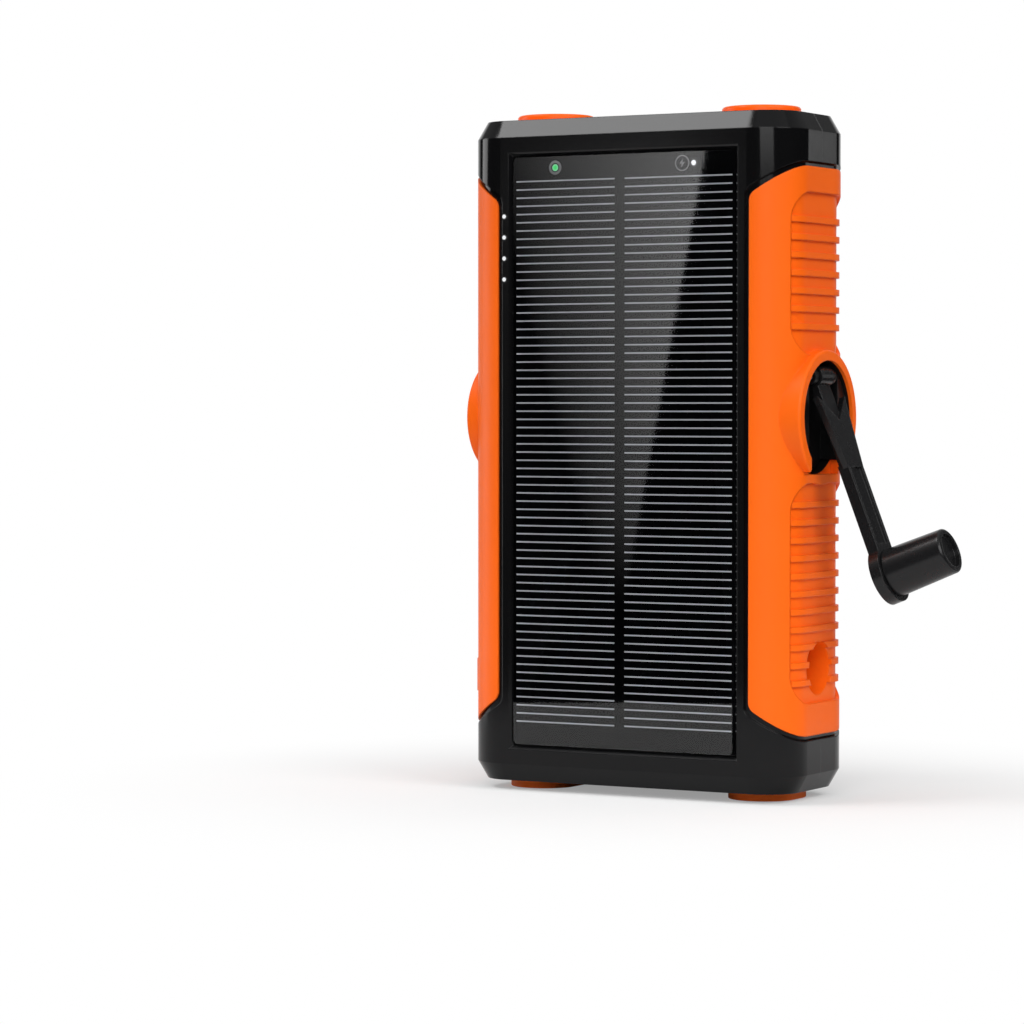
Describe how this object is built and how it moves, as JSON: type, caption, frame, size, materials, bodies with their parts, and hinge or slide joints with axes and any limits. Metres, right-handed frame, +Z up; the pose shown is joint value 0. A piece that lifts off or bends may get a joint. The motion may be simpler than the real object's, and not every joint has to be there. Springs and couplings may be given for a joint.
{
  "type": "hand crank phone charger",
  "caption": "Hand-cranked solar power bank with folding crank and geared generator, charging pad, built-in leads, lamps, compass and lanyard eye.",
  "frame": {"origin": "point on the floor midway between the two feet, under the middle of the case", "axes": "+Z up to the lamp end; -Y the solar face, +Y the back with charging pad and leads; +X the crank side, -X the compass side"},
  "size_m": [0.1293, 0.0396, 0.1694],
  "materials": {
    "case_black": "gloss, matt on the back",
    "grip_orange": "satin",
    "orange_plastic": "satin",
    "black_plastic": "satin",
    "orange_rubber": "matt",
    "black_rubber": "matt",
    "solar_cell": "gloss",
    "cover_glass": "clear",
    "lamp_lens": "clear",
    "light_guide": "translucent",
    "diode": "clear resin",
    "reflector": "polished",
    "board": "solder mask",
    "port_metal": "plated",
    "contact": "gold plated",
    "battery_wrap": "foil",
    "coil_copper": "enamelled copper",
    "ferrite": "matt",
    "steel": "machined",
    "gear_brass": "cut",
    "gear_nylon": "moulded",
    "dial": "printed",
    "magnet": "coated"
  },
  "bodies": {
    "housing": {"front_shell": "case_black", "back_shell": "case_black", "crank_grip": "grip_orange", "compass_grip": "grip_orange", "end_plate": "orange_plastic", "feet": "orange_rubber", "case_screws": "steel", "small_screws": "steel", "solar_glass": "cover_glass", "solar_cells": "solar_cell", "level_lights": "light_guide", "status_lights": "light_guide", "indicator_board": "board", "lamp_reflectors": "reflector", "lamp_lenses": "lamp_lens", "lamp_diodes": "diode", "lamp_boards": "board", "usb_a_port": "port_metal", "usb_c_port": "port_metal", "main_board": "board", "battery_upper": "battery_wrap", "batteries_lower": "battery_wrap", "charging_coil": "coil_copper", "ferrite_sheet": "ferrite", "charging_pad": "black_plastic", "lead_roots": "orange_rubber", "hub_bush": "gear_brass", "gearbox_base": "black_plastic", "gearbox_cover": "black_plastic", "idler_pin": "steel", "generator_can": "steel", "stator_coils": "coil_copper", "compass_bowl": "black_plastic", "compass_glass": "cover_glass", "button_switch": "black_plastic", "switch_board": "board"},
    "crank": {"crank_hub": "black_plastic", "crank_shaft": "steel", "crank_gear": "gear_nylon", "hub_pin": "steel"},
    "arm": {"crank_arm": "black_plastic", "knob_rivet": "steel"},
    "knob": {"crank_knob": "black_plastic"},
    "idler": {"idler_gear": "gear_nylon"},
    "rotor": {"rotor_magnet": "magnet", "rotor_shaft": "steel", "rotor_pinion": "gear_brass"},
    "compass": {"compass_card": "dial"},
    "button": {"power_button": "black_plastic", "switch_plunger": "black_plastic"},
    "cover": {"port_cover": "black_rubber"},
    "phone_lead": {"phone_lead_strap": "orange_rubber", "phone_lead_plug": "orange_plastic", "phone_lead_tip": "port_metal"},
    "usb_lead": {"usb_lead_strap": "orange_rubber", "usb_lead_plug": "orange_plastic", "usb_lead_contacts": "contact"},
    "micro_lead": {"micro_lead_strap": "orange_rubber", "micro_lead_plug": "orange_plastic", "micro_lead_tip": "port_metal"}
  },
  "joints": [
    {"name": "crank_spin", "type": "hinge", "parent": "housing", "child": "crank", "pos_m": [0.036, 0, 0.0935], "axis": [1, 0, 0], "continuous": true},
    {"name": "arm_fold", "type": "hinge", "parent": "crank", "child": "arm", "pos_m": [0.0444, 0, 0.1034], "axis": [0, -1, 0], "range_deg": [0, 88]},
    {"name": "knob_spin", "type": "hinge", "parent": "arm", "child": "knob", "pos_m": [0.06307, 0, 0.05551], "axis": [0.9317, 0, 0.3633], "continuous": true},
    {"name": "idler_spin", "type": "hinge", "parent": "housing", "child": "idler", "pos_m": [0.024, 0, 0.0791], "axis": [1, 0, 0], "continuous": true},
    {"name": "rotor_spin", "type": "hinge", "parent": "housing", "child": "rotor", "pos_m": [0.01, 0, 0.0665], "axis": [1, 0, 0], "continuous": true},
    {"name": "compass_spin", "type": "hinge", "parent": "housing", "child": "compass", "pos_m": [-0.043, 0, 0.0935], "axis": [1, 0, 0], "continuous": true},
    {"name": "button_press", "type": "slide", "parent": "housing", "child": "button", "axis": [1, 0, 0], "range_m": [0, 0.0008], "stiffness_N_per_m": 1200, "springref_m": -0.0004},
    {"name": "cover_hinge", "type": "hinge", "parent": "housing", "child": "cover", "pos_m": [0, -0.0075, 0.1678], "axis": [1, 0, 0], "range_deg": [0, 140]},
    {"name": "phone_lead_lift", "type": "hinge", "parent": "housing", "child": "phone_lead", "pos_m": [0.0189, 0.0162, 0.167], "axis": [1, 0, 0], "range_deg": [0, 150]},
    {"name": "usb_lead_lift", "type": "hinge", "parent": "housing", "child": "usb_lead", "pos_m": [0, 0.0162, 0.167], "axis": [1, 0, 0], "range_deg": [0, 150]},
    {"name": "micro_lead_lift", "type": "hinge", "parent": "housing", "child": "micro_lead", "pos_m": [-0.0189, 0.0162, 0.167], "axis": [1, 0, 0], "range_deg": [0, 150]}
  ],
  "couplings": [
    {"joint": "idler_spin", "follows": "crank_spin", "ratio": -3},
    {"joint": "rotor_spin", "follows": "crank_spin", "ratio": 7.5}
  ]
}
